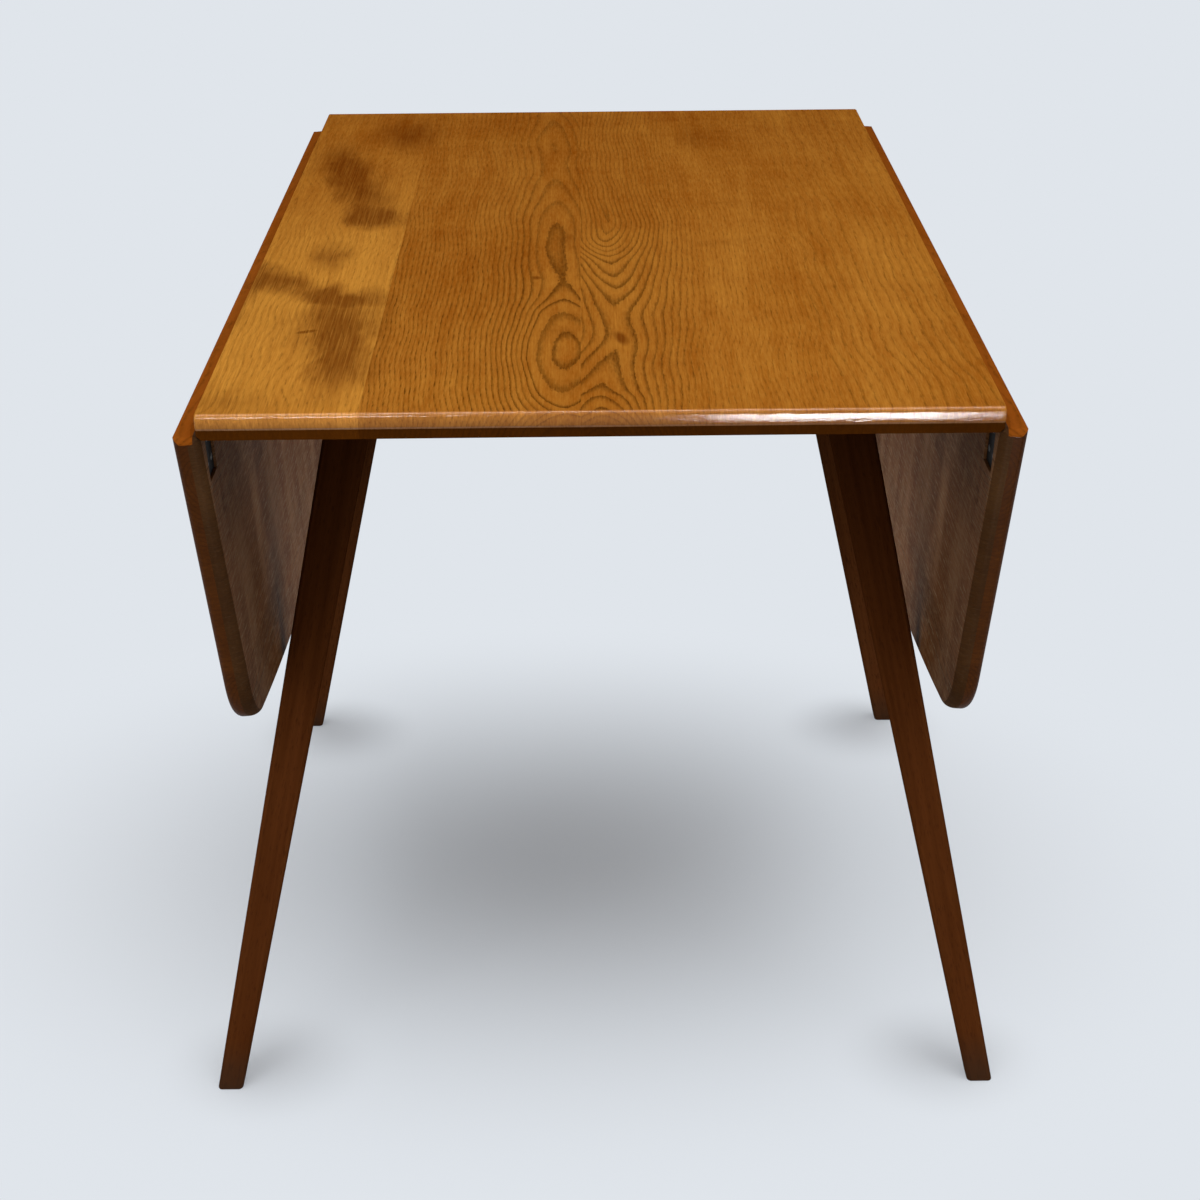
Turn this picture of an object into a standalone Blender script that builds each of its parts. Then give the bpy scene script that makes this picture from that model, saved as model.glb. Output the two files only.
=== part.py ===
# Drop-leaf dining table: a fixed centre board, two hinged leaves and four splayed legs.
# Metres, +Z up, +Y along the table, origin on the floor under the middle of the top.
import math

import bmesh
import bpy
from mathutils import Vector

# Top and leaves
TABLE_HEIGHT = 0.725
TOP_LENGTH = 1.130
TOP_WIDTH = 0.630
BOARD = 0.022
EDGE_ROUND = 0.004
BEVEL_RISE = 0.0085
BEVEL_RUN = 0.006
ROUND_STEPS = 4
LEAF_END_DEPTH = 0.283
LEAF_END_SLOPE = 0.069
LEAF_CORNER = 0.062
LEAF_BOW = 0.035
LEAF_CORNER_STEPS = 9
LEAF_BOW_STEPS = 18
JOINT_GAP = 0.0005
LEAN = math.radians(4.0)

# Fits
FIT = 0.0003
RUNNING = 0.00005

# Hinges
HINGE_WIDTH = 0.036
HINGE_REACH = 0.045
HINGE_PLATE = 0.002
HINGE_SETBACK = 0.041
KNUCKLE_RADIUS = 0.0032
HINGE_PIN_RADIUS = 0.0015
PIN_RISE = 0.0034
HINGE_RELIEF = PIN_RISE + 0.0006

# Legs
LEG_TOP_INSET_X = 0.1075
LEG_TOP_INSET_Y = 0.315
LEG_FOOT_OUTSET_X = 0.040
LEG_FOOT_INSET_Y = 0.170
LEG_TOP_WIDE = 0.044
LEG_TOP_DEEP = 0.040
LEG_FOOT_WIDE = 0.0235
LEG_FOOT_DEEP = 0.024
LEG_ARRIS = 0.004
LEG_ARRIS_STEPS = 3
FOOT_ROUND = 0.0025

# Rails
RAIL_DEPTH = 0.048
RAIL_THICK = 0.022
TENON = 0.020
TENON_SHOULDER = 0.009
LONG_RAIL_INSET = 0.0975
LONG_RAIL_TENON = 0.010

# Folding stays
STAY_Y = 0.100
STAY_REACH = 0.080
STAY_DROP = 0.021
STAY_BAR = 0.003
STAY_WIDTH = 0.013
STAY_PIN_RADIUS = 0.0025
STAY_HEAD_RADIUS = 0.0045
STAY_HEAD = 0.0012
ELBOW_PLAY = 0.00015
BRACKET_LONG = 0.040
BRACKET_WIDE = 0.026
BRACKET_PLATE = 0.0025

ROUND_SIDES = 24

# Places that follow from the sizes above
UNDERSIDE = TABLE_HEIGHT - BOARD
PIN_X = TOP_WIDTH / 2 + JOINT_GAP / 2
PIN_Z = UNDERSIDE + PIN_RISE
LEAF_START = JOINT_GAP / 2
HANG = math.pi / 2 + LEAN
HINGE_END = TOP_LENGTH / 2 - HINGE_SETBACK
LEG_TOP_X = TOP_WIDTH / 2 - LEG_TOP_INSET_X
LEG_TOP_Y = TOP_LENGTH / 2 - LEG_TOP_INSET_Y
LEG_FOOT_X = TOP_WIDTH / 2 + LEG_FOOT_OUTSET_X
LEG_FOOT_Y = TOP_LENGTH / 2 - LEG_FOOT_INSET_Y
LONG_RAIL_X = LEG_TOP_X - LONG_RAIL_INSET


def clear_scene():
    for old in list(bpy.data.objects):
        bpy.data.objects.remove(old, do_unlink=True)


def make_material(name, colour, roughness, metallic):
    material = bpy.data.materials.new(name)
    material.use_nodes = True
    shader = material.node_tree.nodes["Principled BSDF"]
    shader.inputs["Base Color"].default_value = (*colour, 1.0)
    shader.inputs["Roughness"].default_value = roughness
    shader.inputs["Metallic"].default_value = metallic
    return material


def make_object(name, mesh, material=None, parent=None):
    piece = bpy.data.objects.new(name, mesh)
    bpy.context.scene.collection.objects.link(piece)
    if material:
        mesh.materials.clear()
        mesh.materials.append(material)
    piece.parent = parent
    return piece


def make_empty(name, location, turn):
    empty = bpy.data.objects.new(name, None)
    empty.location = location
    empty.rotation_euler = (0.0, turn, 0.0)
    bpy.context.scene.collection.objects.link(empty)
    return empty


def loft(name, rings):
    # Closed body through rings of equal length, with a flat cap at each end
    body = bmesh.new()
    rows = [[body.verts.new(point) for point in ring] for ring in rings]
    for low, high in zip(rows, rows[1:]):
        for i in range(len(low)):
            j = (i + 1) % len(low)
            body.faces.new((low[i], low[j], high[j], high[i]))
    body.faces.new(list(reversed(rows[0])))
    body.faces.new(rows[-1])
    bmesh.ops.recalc_face_normals(body, faces=body.faces)
    mesh = bpy.data.meshes.new(name)
    body.to_mesh(mesh)
    body.free()
    return mesh


def box(name, low, high):
    corners = ((low[0], low[1]), (high[0], low[1]), (high[0], high[1]), (low[0], high[1]))
    return loft(name, [[Vector((x, y, z)) for x, y in corners] for z in (low[2], high[2])])


def slab_y(name, outline, y_low, y_high):
    # Outline in X and Z, drawn out along Y
    return loft(name, [[Vector((x, y, z)) for x, z in outline] for y in (y_low, y_high)])


def slab_x(name, outline, x_low, x_high):
    # Outline in Y and Z, drawn out along X
    return loft(name, [[Vector((x, y, z)) for y, z in outline] for x in (x_low, x_high)])


def circle(radius, x=0.0, z=0.0):
    turns = [2 * math.pi * i / ROUND_SIDES for i in range(ROUND_SIDES)]
    return [(x + radius * math.cos(a), z + radius * math.sin(a)) for a in turns]


def rod(name, steps, x=0.0, z=0.0):
    # Turned pin along Y from pairs of radius and Y
    return loft(name, [[Vector((px, y, pz)) for px, pz in circle(r, x, z)] for r, y in steps])


def bar_outline(start, end, radius):
    # Flat bar with a half-round end about each pivot
    along = (Vector(end) - Vector(start)).normalized()
    first = math.atan2(along.y, along.x)
    half = ROUND_SIDES // 2
    points = []
    for centre, base in ((end, first - math.pi / 2), (start, first + math.pi / 2)):
        for i in range(half + 1):
            a = base + math.pi * i / half
            points.append((centre[0] + radius * math.cos(a), centre[1] + radius * math.sin(a)))
    return points


def combine(piece, meshes, operation):
    # Boolean each mesh into the piece and keep the result as its mesh
    tools = []
    for mesh in meshes:
        tool = make_object(mesh.name + "_tool", mesh, None, piece.parent)
        tool.hide_render = True
        tool.display_type = "WIRE"
        step = piece.modifiers.new(tool.name, "BOOLEAN")
        step.operation = operation
        step.solver = "EXACT"
        step.object = tool
        tools.append(tool)
    bpy.context.view_layer.update()
    graph = bpy.context.evaluated_depsgraph_get()
    result = bpy.data.meshes.new_from_object(piece.evaluated_get(graph))
    piece.modifiers.clear()
    piece.data = result
    for tool in tools:
        bpy.data.objects.remove(tool, do_unlink=True)


def shade(piece, limit=35.0):
    piece.data.shade_smooth()
    piece.data.set_sharp_from_angle(angle=math.radians(limit))


def edge_profile():
    # Inset, height from the underside and setback of the hinge edge: under-bevel, band, arris
    part_run = BEVEL_RUN * (1 - HINGE_RELIEF / BEVEL_RISE)
    steps = [(BEVEL_RUN, 0.0, HINGE_RELIEF), (part_run, HINGE_RELIEF, 0.0), (0.0, BEVEL_RISE, 0.0)]
    for i in range(ROUND_STEPS + 1):
        a = math.pi / 2 * i / ROUND_STEPS
        inset = EDGE_ROUND * (1 - math.cos(a))
        steps.append((inset, BOARD - EDGE_ROUND * (1 - math.sin(a)), 0.0))
    return steps


def hinge_pockets(direction, centre_x, centre_z):
    # One pocket for a plate and one for its knuckles at each hinge, open at the underside
    deep = centre_z - PIN_RISE - BOARD
    wide = HINGE_WIDTH / 2 + FIT
    room = KNUCKLE_RADIUS + FIT
    pockets = []
    for place in (-HINGE_END, 0.0, HINGE_END):
        for reach, rise in ((HINGE_REACH + FIT, HINGE_PLATE / 2 + FIT), (room, room)):
            inner = centre_x + direction * reach
            outer = centre_x - direction * BOARD
            low = (min(inner, outer), place - wide, deep)
            high = (max(inner, outer), place + wide, centre_z + rise)
            pockets.append(box("pocket", low, high))
    return pockets


def make_centre_top(material):
    rings = []
    for inset, height, setback in edge_profile():
        end = TOP_LENGTH / 2 - inset
        half = TOP_WIDTH / 2 - setback
        corners = ((-half, -end), (half, -end), (half, end), (-half, end))
        rings.append([Vector((x, y, UNDERSIDE + height)) for x, y in corners])
    top = make_object("centre_top", loft("centre_top", rings), material)
    for side in (-1, 1):
        combine(top, hinge_pockets(-side, side * PIN_X, PIN_Z), "DIFFERENCE")
    shade(top)


def leaf_outline(inset, setback):
    # Distance from the hinge edge and place along it, drawn as lines and tangent arcs
    half = TOP_LENGTH / 2
    corner_y = half - LEAF_END_SLOPE
    bow_radius = (corner_y ** 2 + LEAF_BOW ** 2) / (2 * LEAF_BOW)
    bow_v = LEAF_END_DEPTH + LEAF_BOW - bow_radius
    slope = math.atan2(LEAF_END_SLOPE, LEAF_END_DEPTH)
    normal = Vector((math.sin(slope), math.cos(slope)))
    along = Vector((math.cos(slope), -math.sin(slope)))
    base = Vector((0.0, half)) - normal * LEAF_CORNER
    to_bow = base - Vector((bow_v, 0.0))
    b = to_bow.dot(along)
    c = to_bow.length_squared - (bow_radius - LEAF_CORNER) ** 2
    centre = base + along * (-b + math.sqrt(b * b - c))
    turn_end = math.atan2(normal.y, normal.x)
    turn_bow = math.atan2(centre.y, centre.x - bow_v)
    points = [(setback, half - inset / math.cos(slope) - setback * math.tan(slope))]
    for i in range(LEAF_CORNER_STEPS + 1):
        a = turn_end + (turn_bow - turn_end) * i / LEAF_CORNER_STEPS
        radius = LEAF_CORNER - inset
        points.append((centre.x + radius * math.cos(a), centre.y + radius * math.sin(a)))
    for i in range(1, LEAF_BOW_STEPS // 2):
        a = turn_bow * (1 - 2 * i / LEAF_BOW_STEPS)
        radius = bow_radius - inset
        points.append((bow_v + radius * math.cos(a), radius * math.sin(a)))
    middle = [(bow_v + bow_radius - inset, 0.0)]
    return points + middle + [(v, -y) for v, y in reversed(points)]


def make_leaf(name, side, material, hinge):
    rings = []
    for inset, height, setback in edge_profile():
        outline = leaf_outline(inset, setback)
        z = height - PIN_RISE
        rings.append([Vector((side * (LEAF_START + v), y, z)) for v, y in outline])
    leaf = make_object(name, loft(name, rings), material, hinge)
    combine(leaf, hinge_pockets(side, 0.0, 0.0), "DIFFERENCE")
    shade(leaf)


def leg_section(z):
    # Middle and half sizes of a leg at a height, for the quarter at +X and +Y
    t = z / UNDERSIDE
    x = LEG_FOOT_X + (LEG_TOP_X - LEG_FOOT_X) * t
    y = LEG_FOOT_Y + (LEG_TOP_Y - LEG_FOOT_Y) * t
    wide = (LEG_FOOT_WIDE + (LEG_TOP_WIDE - LEG_FOOT_WIDE) * t) / 2
    deep = (LEG_FOOT_DEEP + (LEG_TOP_DEEP - LEG_FOOT_DEEP) * t) / 2
    return x, y, wide, deep


def leg_ring(side_x, side_y, z, inset):
    x, y, wide, deep = leg_section(z)
    arris = LEG_ARRIS - inset
    ring = []
    for corner, (cx, cy) in enumerate(((1, 1), (-1, 1), (-1, -1), (1, -1))):
        for i in range(LEG_ARRIS_STEPS + 1):
            a = math.pi / 2 * (corner + i / LEG_ARRIS_STEPS)
            px = side_x * x + cx * (wide - LEG_ARRIS) + arris * math.cos(a)
            py = side_y * y + cy * (deep - LEG_ARRIS) + arris * math.sin(a)
            ring.append(Vector((px, py, z)))
    return ring


def rail_levels():
    top = UNDERSIDE - FIT
    low = top - RAIL_DEPTH
    return low, top


def leg_inner_x(z):
    x, _, wide, _ = leg_section(z)
    return x - wide


def rail_y():
    low, top = rail_levels()
    return leg_section((low + top) / 2)[1]


def tenon_reach():
    low, top = rail_levels()
    return leg_inner_x((low + top) / 2) + TENON


def make_leg(name, side_x, side_y, material):
    rings = [
        leg_ring(side_x, side_y, 0.0, FOOT_ROUND),
        leg_ring(side_x, side_y, FOOT_ROUND * 0.3, FOOT_ROUND * 0.3),
        leg_ring(side_x, side_y, FOOT_ROUND, 0.0),
        leg_ring(side_x, side_y, UNDERSIDE - FIT, 0.0),
    ]
    leg = make_object(name, loft(name, rings), material)
    low, top = rail_levels()
    near = side_x * (leg_inner_x(top) - TENON)
    far = side_x * (tenon_reach() + FIT)
    middle = side_y * rail_y()
    thick = RAIL_THICK / 2 + FIT
    low_corner = (min(near, far), middle - thick, low + TENON_SHOULDER - FIT)
    high_corner = (max(near, far), middle + thick, top - TENON_SHOULDER + FIT)
    combine(leg, [box("mortise", low_corner, high_corner)], "DIFFERENCE")
    shade(leg)


def make_cross_rail(name, side_y, material):
    low, top = rail_levels()
    tenon_low = low + TENON_SHOULDER
    tenon_top = top - TENON_SHOULDER
    reach = tenon_reach()
    right = [
        (leg_inner_x(low) - FIT, low),
        (leg_inner_x(tenon_low) - FIT, tenon_low),
        (reach, tenon_low),
        (reach, tenon_top),
        (leg_inner_x(tenon_top) - FIT, tenon_top),
        (leg_inner_x(top) - FIT, top),
    ]
    outline = right + [(-x, z) for x, z in reversed(right)]
    middle = side_y * rail_y()
    half_thick = RAIL_THICK / 2
    blank = slab_y(name, outline, middle - half_thick, middle + half_thick)
    rail = make_object(name, blank, material)
    inner = side_y * (rail_y() - RAIL_THICK)
    outer = side_y * (rail_y() - RAIL_THICK / 2 + LONG_RAIL_TENON + FIT)
    sockets = []
    for side_x in (-1, 1):
        x = side_x * LONG_RAIL_X
        thick = RAIL_THICK / 2 + FIT
        low_corner = (x - thick, min(inner, outer), tenon_low - FIT)
        high_corner = (x + thick, max(inner, outer), tenon_top + FIT)
        sockets.append(box("socket", low_corner, high_corner))
    combine(rail, sockets, "DIFFERENCE")
    shade(rail)


def make_long_rail(name, side_x, material):
    low, top = rail_levels()
    tenon_low = low + TENON_SHOULDER
    tenon_top = top - TENON_SHOULDER
    shoulder = rail_y() - RAIL_THICK / 2 - FIT
    reach = shoulder + FIT + LONG_RAIL_TENON
    right = [
        (shoulder, low),
        (shoulder, tenon_low),
        (reach, tenon_low),
        (reach, tenon_top),
        (shoulder, tenon_top),
        (shoulder, top),
    ]
    outline = right + [(-y, z) for y, z in reversed(right)]
    x = side_x * LONG_RAIL_X
    blank = slab_x(name, outline, x - RAIL_THICK / 2, x + RAIL_THICK / 2)
    shade(make_object(name, blank, material))


def make_hinge(name, side, place, material, pin_material, hinge):
    # Three knuckles on one pin: the outer two on the fixed plate, the middle one on the flap
    half = HINGE_WIDTH / 2
    third = HINGE_WIDTH / 6
    thick = HINGE_PLATE / 2
    clear = KNUCKLE_RADIUS + FIT
    bore = HINGE_PIN_RADIUS + RUNNING
    inward = -side

    plate_low = (min(inward * clear, inward * HINGE_REACH), -half, -thick)
    plate_high = (max(inward * clear, inward * HINGE_REACH), half, thick)
    fixed = make_empty(name + "_place", (side * PIN_X, place, PIN_Z), 0.0)
    plate = make_object(name + "_plate", box(name + "_plate", plate_low, plate_high), material, fixed)
    joined = []
    for low, high in ((-half, -third - FIT / 2), (third + FIT / 2, half)):
        joined.append(rod("knuckle", ((KNUCKLE_RADIUS, low), (KNUCKLE_RADIUS, high))))
        web = (min(0.0, inward * clear * 1.5), low, -thick)
        web_end = (max(0.0, inward * clear * 1.5), high, thick)
        joined.append(box("web", web, web_end))
    combine(plate, joined, "UNION")
    combine(plate, [rod("bore", ((bore, -HINGE_WIDTH), (bore, HINGE_WIDTH)))], "DIFFERENCE")
    shade(plate)

    turned = make_empty(name + "_turn", (0.0, place, 0.0), 0.0)
    turned.parent = hinge
    flap_low = (min(side * clear, side * HINGE_REACH), -half, -thick)
    flap_high = (max(side * clear, side * HINGE_REACH), half, thick)
    flap = make_object(name + "_flap", box(name + "_flap", flap_low, flap_high), material, turned)
    low, high = -third + FIT / 2, third - FIT / 2
    knuckle = rod("knuckle", ((KNUCKLE_RADIUS, low), (KNUCKLE_RADIUS, high)))
    web = (min(0.0, side * clear * 1.5), low, -thick)
    web_end = (max(0.0, side * clear * 1.5), high, thick)
    combine(flap, [knuckle, box("web", web, web_end)], "UNION")
    combine(flap, [rod("bore", ((bore, -HINGE_WIDTH), (bore, HINGE_WIDTH)))], "DIFFERENCE")
    shade(flap)

    steps = ((HINGE_PIN_RADIUS, -half), (HINGE_PIN_RADIUS, half))
    shade(make_object(name + "_pin", rod(name + "_pin", steps), pin_material, fixed))


def make_bracket(name, x, lug_low, lug_high, plate_low, plate_high, material, parent):
    # Plate under a board with one lug hanging from it to the pivot
    top = -PIN_RISE - FIT
    base = top - BRACKET_PLATE
    low = (x - BRACKET_LONG / 2, plate_low, base)
    high = (x + BRACKET_LONG / 2, plate_high, top)
    bracket = make_object(name, box(name, low, high), material, parent)
    outline = bar_outline((x, -STAY_DROP), (x, base + BRACKET_PLATE / 2), STAY_WIDTH / 2)
    lug = slab_y("lug", outline, lug_low, lug_high)
    trimmed = make_object("lug_blank", lug, None, parent)
    over = (x - BRACKET_LONG, lug_low - BOARD, top - BRACKET_PLATE / 2)
    over_end = (x + BRACKET_LONG, lug_high + BOARD, top + BOARD)
    combine(trimmed, [box("trim", over, over_end)], "DIFFERENCE")
    shaped = trimmed.data
    bpy.data.objects.remove(trimmed, do_unlink=True)
    combine(bracket, [shaped], "UNION")
    bore = STAY_PIN_RADIUS + RUNNING
    hole = rod("bore", ((bore, lug_low - BOARD), (bore, lug_high + BOARD)), x, -STAY_DROP)
    combine(bracket, [hole], "DIFFERENCE")
    shade(bracket)


def make_link(name, end, y_low, y_high, end_play, material, parent):
    outline = bar_outline((0.0, 0.0), end, STAY_WIDTH / 2)
    link = make_object(name, slab_y(name, outline, y_low, y_high), material, parent)
    near_radius = STAY_PIN_RADIUS + RUNNING
    reach = ((near_radius, y_low - BOARD), (near_radius, y_high + BOARD))
    far_radius = STAY_PIN_RADIUS + end_play
    far = ((far_radius, y_low - BOARD), (far_radius, y_high + BOARD))
    combine(link, [rod("bore", reach), rod("bore_far", far, end[0], end[1])], "DIFFERENCE")
    shade(link)


def make_rivet(name, y_low, y_high, material, parent, x=0.0, z=0.0):
    steps = (
        (STAY_HEAD_RADIUS, y_low - FIT - STAY_HEAD),
        (STAY_HEAD_RADIUS, y_low - FIT),
        (STAY_PIN_RADIUS, y_low - FIT),
        (STAY_PIN_RADIUS, y_high + FIT),
        (STAY_HEAD_RADIUS, y_high + FIT),
        (STAY_HEAD_RADIUS, y_high + FIT + STAY_HEAD),
    )
    shade(make_object(name, rod(name, steps, x, z), material, parent))


def make_stay(name, side, material, hinge):
    # Two equal links: with the pivots equally far from the leaf's axis they stay a rhombus
    step = STAY_BAR + FIT
    layers = [(STAY_Y + i * step, STAY_Y + i * step + STAY_BAR) for i in range(4)]
    root = make_empty(name + "_root", (side * PIN_X, 0.0, PIN_Z), 0.0)
    plate_low = layers[0][1] - BRACKET_WIDE
    near_x = -side * STAY_REACH
    far_x = side * STAY_REACH
    make_bracket(name + "_top_bracket", near_x, *layers[0], plate_low, layers[0][1], material, root)
    plate_high = layers[3][0] + BRACKET_WIDE
    make_bracket(name + "_leaf_bracket", far_x, *layers[3], layers[3][0], plate_high, material, hinge)
    inner_end = (far_x, -STAY_DROP)
    outer_end = (near_x, -STAY_DROP)
    inner_pivot = make_empty(name + "_inner_pivot", (near_x, 0.0, -STAY_DROP), side * HANG)
    inner_pivot.parent = root
    outer_pivot = make_empty(name + "_outer_pivot", (far_x, 0.0, -STAY_DROP), -side * HANG)
    outer_pivot.parent = hinge
    make_link(name + "_inner_link", inner_end, *layers[1], RUNNING, material, inner_pivot)
    make_link(name + "_outer_link", outer_end, *layers[2], ELBOW_PLAY, material, outer_pivot)
    make_rivet(name + "_top_pin", layers[0][0], layers[1][1], material, root, *outer_end)
    make_rivet(name + "_elbow_pin", layers[1][0], layers[2][1], material, inner_pivot, *inner_end)
    make_rivet(name + "_leaf_pin", layers[2][0], layers[3][1], material, hinge, *inner_end)


clear_scene()
elm = make_material("elm_top", (0.36, 0.17, 0.05), 0.35, 0.0)
beech = make_material("beech_leg", (0.09, 0.032, 0.014), 0.35, 0.0)
rail_beech = make_material("beech_rail", (0.13, 0.06, 0.028), 0.5, 0.0)
iron = make_material("black_iron", (0.02, 0.022, 0.022), 0.5, 0.8)
steel = make_material("zinc_steel", (0.45, 0.45, 0.44), 0.4, 1.0)

make_centre_top(elm)
for side_name_y, side_y in (("front", -1), ("back", 1)):
    make_cross_rail("rail_" + side_name_y, side_y, rail_beech)
    for side_name, side_x in (("left", -1), ("right", 1)):
        make_leg("leg_" + side_name_y + "_" + side_name, side_x, side_y, beech)

for side_name, side in (("left", -1), ("right", 1)):
    make_long_rail("rail_" + side_name, side, rail_beech)
    axis = make_empty("axis_" + side_name, (side * PIN_X, 0.0, PIN_Z), side * HANG)
    make_leaf("leaf_" + side_name, side, elm, axis)
    for place_name, place in (("front", -HINGE_END), ("middle", 0.0), ("back", HINGE_END)):
        make_hinge("hinge_" + side_name + "_" + place_name, side, place, iron, iron, axis)
    make_stay("stay_" + side_name, side, steel, axis)
bpy.context.view_layer.update()
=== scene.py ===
import math

import bmesh
import bpy
from mathutils import Matrix, Vector


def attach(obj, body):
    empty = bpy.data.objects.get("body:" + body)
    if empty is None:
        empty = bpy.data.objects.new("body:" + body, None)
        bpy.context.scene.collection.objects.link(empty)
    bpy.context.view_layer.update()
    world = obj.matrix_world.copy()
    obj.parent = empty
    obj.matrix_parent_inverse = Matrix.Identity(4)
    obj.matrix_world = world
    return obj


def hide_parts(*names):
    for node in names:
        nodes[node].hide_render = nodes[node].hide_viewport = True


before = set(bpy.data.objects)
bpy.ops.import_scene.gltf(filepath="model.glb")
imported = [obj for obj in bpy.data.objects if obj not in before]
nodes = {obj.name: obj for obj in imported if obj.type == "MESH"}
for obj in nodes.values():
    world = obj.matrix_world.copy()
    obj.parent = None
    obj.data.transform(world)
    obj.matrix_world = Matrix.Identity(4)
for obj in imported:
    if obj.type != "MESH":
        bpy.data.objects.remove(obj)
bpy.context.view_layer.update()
print("frame loaded:", len(nodes), "nodes")

# small helpers


def hexColour(code):
    parts = [int(code[i:i + 2], 16) / 255 for i in (1, 3, 5)]
    line = [p / 12.92 if p <= 0.04045 else ((p + 0.055) / 1.055) ** 2.4 for p in parts]
    return (*line, 1.0)


def grey(value):
    return (value, value, value, 1.0)


def newMaterial(name):
    material = bpy.data.materials.new(name)
    material.use_nodes = True
    tree = material.node_tree
    tree.nodes.clear()
    return material, tree


def addNode(tree, kind, settings=None, links=None):
    node = tree.nodes.new(kind)
    for key, value in (settings or {}).items():
        if isinstance(key, int) or key in node.inputs:
            node.inputs[key].default_value = value
        else:
            setattr(node, key, value)
    for key, socket in (links or {}).items():
        tree.links.new(socket, node.inputs[key])
    return node


def feed(tree, node, key, value):
    # a socket is linked, a plain value is set
    if isinstance(value, bpy.types.NodeSocket):
        tree.links.new(value, node.inputs[key])
    else:
        node.inputs[key].default_value = value


def calc(tree, operation, *values, clamp=False):
    node = addNode(tree, "ShaderNodeMath", dict(operation=operation, use_clamp=clamp))
    for key, value in enumerate(values):
        feed(tree, node, key, value)
    return node.outputs[0]


def remap(tree, value, before, after=(0.0, 1.0), smooth=False):
    # carried from one range to another and held at its ends
    node = addNode(tree, "ShaderNodeMapRange", dict(interpolation_type="SMOOTHSTEP" if smooth else "LINEAR"))
    for key, entry in enumerate((value, *before, *after)):
        feed(tree, node, key, entry)
    return node.outputs[0]


def pick(tree, share, before, after):
    node = addNode(tree, "ShaderNodeMix")
    for key, value in ((0, share), (2, before), (3, after)):
        feed(tree, node, key, value)
    return node.outputs[0]


def blend(tree, share, under, over):
    # one colour over another, each a socket or a hex code
    node = addNode(tree, "ShaderNodeMix", dict(data_type="RGBA"))
    for key, value in ((0, share), (6, under), (7, over)):
        feed(tree, node, key, hexColour(value) if isinstance(value, str) else value)
    return node.outputs[2]


def brighten(tree, colour, times):
    return addNode(tree, "ShaderNodeVectorMath", dict(operation="SCALE"), {0: colour, "Scale": times}).outputs[0]


def noise(tree, place, spec):
    # spec: cycles a metre on each axis, detail, roughness
    scale, detail, rough = spec
    spot = addNode(tree, "ShaderNodeMapping", dict(Scale=scale), {0: place})
    settings = dict(Scale=1.0, Detail=detail, Roughness=rough)
    return addNode(tree, "ShaderNodeTexNoise", settings, {"Vector": spot.outputs[0]})


def relief(tree, height, strength, depth, invert=False):
    settings = dict(Strength=strength, Distance=depth, invert=invert)
    return addNode(tree, "ShaderNodeBump", settings, {"Height": height}).outputs[0]


def separate(tree, vector):
    return addNode(tree, "ShaderNodeSeparateXYZ", None, {0: vector}).outputs


def finishShader(tree, settings, links):
    shader = addNode(tree, "ShaderNodeBsdfPrincipled", settings, links)
    addNode(tree, "ShaderNodeOutputMaterial", None, {0: shader.outputs[0]})


def fillRamp(node, stops):
    ramp = node.color_ramp
    while len(ramp.elements) < len(stops):
        ramp.elements.new(0.5)
    for element, (place, colour) in zip(ramp.elements, stops):
        element.position = place
        element.color = colour


# the table's own sizes, in metres

table = dict(height=0.725, length=1.130, width=0.630, thick=0.022, pinRise=0.0034, jointGap=0.0005, lean=4.0)
underside = table["height"] - table["thick"]
pinX = (table["width"] + table["jointGap"]) / 2
pinZ = underside + table["pinRise"]
leafStart = table["jointGap"] / 2
hang = math.radians(90 + table["lean"])
edgeWork = dict(arris=0.004, arrisSteps=7, rise=0.0105, step=0.0022, run=0.0012, shown=0.0062, lowerEase=0.0008,
                sideEase=0.0008, easeSteps=3, relief=0.004, cornerEase=0.0014, cornerEaseSteps=4, cornerLength=0.05,
                faceTurn=0.96, jointReach=0.0004, spare=0.05)
leafWork = dict(edgeWork, arris=0.0075, arrisSteps=9, step=0.0055, run=0.0015, ovalSteps=7, cornerRound=0.0065,
                cornerSteps=8, faceTurn=0.94)
hingeWork = dict(places=(-0.524, 0.0, 0.524), width=0.036, reach=0.045, plate=0.002, knuckle=0.0032, fit=0.0003,
                 over=0.01)
weld = 0.00001  # points nearer than this are one
hair = 0.000001  # a point this near a saw cut lies on it
levelTurn = 0.9  # a face whose normal rises or falls this much is level
sideTurn = 0.2  # and one that leans this much faces aside
sharpTurn = math.radians(32)  # edges turned more than this stay sharp


def finishPiece(name, bm, materials, body, stands, flatArea=0.0008):
    # merge, face out, shade the bevels round and the broad faces flat
    bmesh.ops.remove_doubles(bm, verts=bm.verts, dist=weld)
    bmesh.ops.recalc_face_normals(bm, faces=bm.faces)
    for face in bm.faces:
        face.smooth = face.calc_area() < flatArea
    mesh = bpy.data.meshes.new(name)
    bm.to_mesh(mesh)
    bm.free()
    for material in materials:
        mesh.materials.append(material)
    mesh.set_sharp_from_angle(angle=sharpTurn)
    piece = bpy.data.objects.new(name, mesh)
    bpy.context.scene.collection.objects.link(piece)
    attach(piece, body)
    if stands:
        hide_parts(*stands)
    return piece


def grainMap(piece, toGrain):
    # across, along and through the board, so the figure stays with the wood when a leaf turns
    mesh = piece.data
    layer = mesh.attributes.new("grain", "FLOAT_VECTOR", "POINT")
    for i, vertex in enumerate(mesh.vertices):
        layer.data[i].vector = toGrain @ vertex.co


# wood

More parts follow.
